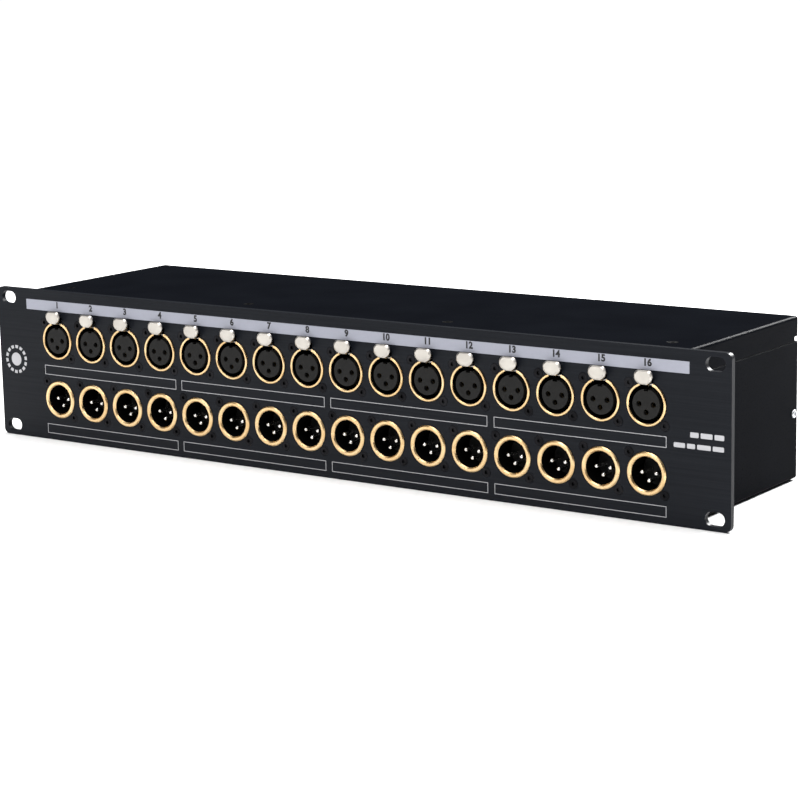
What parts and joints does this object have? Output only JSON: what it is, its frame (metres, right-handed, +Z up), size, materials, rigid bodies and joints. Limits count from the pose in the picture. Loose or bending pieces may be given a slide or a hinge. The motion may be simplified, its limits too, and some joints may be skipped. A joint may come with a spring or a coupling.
{
  "type": "audio patch bay",
  "caption": "Rack-mount audio patch bay with a row of latching female and a row of male three-pole sockets in a black panel, a folded steel case and multipin sockets at the rear.",
  "frame": {"origin": "centre of the four rack slots, on the front panel's back face", "axes": "+X to the right seen from the front, +Y into the rack, +Z up"},
  "size_m": [0.4826, 0.1303, 0.0882],
  "materials": {
    "anodised_panel": "black anodised, fine horizontal brushing",
    "powder_coat": "fine-textured black powder coat on steel",
    "gilt_shell": "pale gold plating, satin",
    "nickel_tab": "satin nickel plating",
    "insert_plastic": "glass-filled moulding, matt dark grey",
    "black_plastic": "matt black moulding",
    "contact_gold": "gold flash",
    "pin_silver": "silver plating",
    "black_screw": "black oxide steel",
    "zinc_steel": "bright zinc plating",
    "spring_steel": "drawn steel wire and ground pins",
    "circuit_board": "green solder mask on glass laminate",
    "ribbon_grey": "grey ribbed flat cable",
    "print_white": "screen-printed ink",
    "print_strip": "screen-printed pale lavender-grey ink",
    "print_black": "screen-printed black ink"
  },
  "bodies": {
    "case": {"board_screws": "zinc_steel", "board_standoffs": "zinc_steel", "bottom_screws": "black_screw", "chassis_tray": "powder_coat", "cover_rear_screws": "black_screw", "cover_screws": "black_screw", "female_board": "circuit_board", "female_contacts": "contact_gold", "female_inserts": "insert_plastic", "female_shells_01_04": "gilt_shell", "female_shells_05_08": "gilt_shell", "female_shells_09_12": "gilt_shell", "female_shells_13_16": "gilt_shell", "front_panel": "anodised_panel", "jack_nuts": "zinc_steel", "jack_posts": "zinc_steel", "latch_pins": "spring_steel", "latch_springs": "spring_steel", "male_board": "circuit_board", "male_inserts": "black_plastic", "male_pins": "pin_silver", "male_shells_01_04": "gilt_shell", "male_shells_05_08": "gilt_shell", "male_shells_09_12": "gilt_shell", "male_shells_13_16": "gilt_shell", "multipin_contacts": "contact_gold", "multipin_insulators": "black_plastic", "multipin_shell_1": "zinc_steel", "multipin_shell_2": "zinc_steel", "multipin_shell_3": "zinc_steel", "multipin_shell_4": "zinc_steel", "panel_nuts": "zinc_steel", "panel_studs": "zinc_steel", "rear_board": "circuit_board", "rear_panel": "powder_coat", "ribbon_cable_1": "ribbon_grey", "ribbon_cable_2": "ribbon_grey", "ribbon_cable_3": "ribbon_grey", "ribbon_cable_4": "ribbon_grey", "ribbon_headers": "black_plastic", "side_screws": "zinc_steel", "socket_screws": "black_screw", "top_cover": "powder_coat", "top_rail": "zinc_steel"},
    "latch_01": {"push_tab_01": "nickel_tab"},
    "latch_02": {"push_tab_02": "nickel_tab"},
    "latch_03": {"push_tab_03": "nickel_tab"},
    "latch_04": {"push_tab_04": "nickel_tab"},
    "latch_05": {"push_tab_05": "nickel_tab"},
    "latch_06": {"push_tab_06": "nickel_tab"},
    "latch_07": {"push_tab_07": "nickel_tab"},
    "latch_08": {"push_tab_08": "nickel_tab"},
    "latch_09": {"push_tab_09": "nickel_tab"},
    "latch_10": {"push_tab_10": "nickel_tab"},
    "latch_11": {"push_tab_11": "nickel_tab"},
    "latch_12": {"push_tab_12": "nickel_tab"},
    "latch_13": {"push_tab_13": "nickel_tab"},
    "latch_14": {"push_tab_14": "nickel_tab"},
    "latch_15": {"push_tab_15": "nickel_tab"},
    "latch_16": {"push_tab_16": "nickel_tab"}
  },
  "joints": [
    {"name": "latch_01_press", "type": "hinge", "parent": "case", "child": "latch_01", "pos_m": [-0.195, 0.012, 0.02695], "axis": [-1, 0, 0], "range_deg": [0, 7], "stiffness_Nm_per_rad": 0.06, "springref_deg": -14.32},
    {"name": "latch_02_press", "type": "hinge", "parent": "case", "child": "latch_02", "pos_m": [-0.169, 0.012, 0.02695], "axis": [-1, 0, 0], "range_deg": [0, 7], "stiffness_Nm_per_rad": 0.06, "springref_deg": -14.32},
    {"name": "latch_03_press", "type": "hinge", "parent": "case", "child": "latch_03", "pos_m": [-0.143, 0.012, 0.02695], "axis": [-1, 0, 0], "range_deg": [0, 7], "stiffness_Nm_per_rad": 0.06, "springref_deg": -14.32},
    {"name": "latch_04_press", "type": "hinge", "parent": "case", "child": "latch_04", "pos_m": [-0.117, 0.012, 0.02695], "axis": [-1, 0, 0], "range_deg": [0, 7], "stiffness_Nm_per_rad": 0.06, "springref_deg": -14.32},
    {"name": "latch_05_press", "type": "hinge", "parent": "case", "child": "latch_05", "pos_m": [-0.091, 0.012, 0.02695], "axis": [-1, 0, 0], "range_deg": [0, 7], "stiffness_Nm_per_rad": 0.06, "springref_deg": -14.32},
    {"name": "latch_06_press", "type": "hinge", "parent": "case", "child": "latch_06", "pos_m": [-0.065, 0.012, 0.02695], "axis": [-1, 0, 0], "range_deg": [0, 7], "stiffness_Nm_per_rad": 0.06, "springref_deg": -14.32},
    {"name": "latch_07_press", "type": "hinge", "parent": "case", "child": "latch_07", "pos_m": [-0.039, 0.012, 0.02695], "axis": [-1, 0, 0], "range_deg": [0, 7], "stiffness_Nm_per_rad": 0.06, "springref_deg": -14.32},
    {"name": "latch_08_press", "type": "hinge", "parent": "case", "child": "latch_08", "pos_m": [-0.013, 0.012, 0.02695], "axis": [-1, 0, 0], "range_deg": [0, 7], "stiffness_Nm_per_rad": 0.06, "springref_deg": -14.32},
    {"name": "latch_09_press", "type": "hinge", "parent": "case", "child": "latch_09", "pos_m": [0.013, 0.012, 0.02695], "axis": [-1, 0, 0], "range_deg": [0, 7], "stiffness_Nm_per_rad": 0.06, "springref_deg": -14.32},
    {"name": "latch_10_press", "type": "hinge", "parent": "case", "child": "latch_10", "pos_m": [0.039, 0.012, 0.02695], "axis": [-1, 0, 0], "range_deg": [0, 7], "stiffness_Nm_per_rad": 0.06, "springref_deg": -14.32},
    {"name": "latch_11_press", "type": "hinge", "parent": "case", "child": "latch_11", "pos_m": [0.065, 0.012, 0.02695], "axis": [-1, 0, 0], "range_deg": [0, 7], "stiffness_Nm_per_rad": 0.06, "springref_deg": -14.32},
    {"name": "latch_12_press", "type": "hinge", "parent": "case", "child": "latch_12", "pos_m": [0.091, 0.012, 0.02695], "axis": [-1, 0, 0], "range_deg": [0, 7], "stiffness_Nm_per_rad": 0.06, "springref_deg": -14.32},
    {"name": "latch_13_press", "type": "hinge", "parent": "case", "child": "latch_13", "pos_m": [0.117, 0.012, 0.02695], "axis": [-1, 0, 0], "range_deg": [0, 7], "stiffness_Nm_per_rad": 0.06, "springref_deg": -14.32},
    {"name": "latch_14_press", "type": "hinge", "parent": "case", "child": "latch_14", "pos_m": [0.143, 0.012, 0.02695], "axis": [-1, 0, 0], "range_deg": [0, 7], "stiffness_Nm_per_rad": 0.06, "springref_deg": -14.32},
    {"name": "latch_15_press", "type": "hinge", "parent": "case", "child": "latch_15", "pos_m": [0.169, 0.012, 0.02695], "axis": [-1, 0, 0], "range_deg": [0, 7], "stiffness_Nm_per_rad": 0.06, "springref_deg": -14.32},
    {"name": "latch_16_press", "type": "hinge", "parent": "case", "child": "latch_16", "pos_m": [0.195, 0.012, 0.02695], "axis": [-1, 0, 0], "range_deg": [0, 7], "stiffness_Nm_per_rad": 0.06, "springref_deg": -14.32}
  ]
}
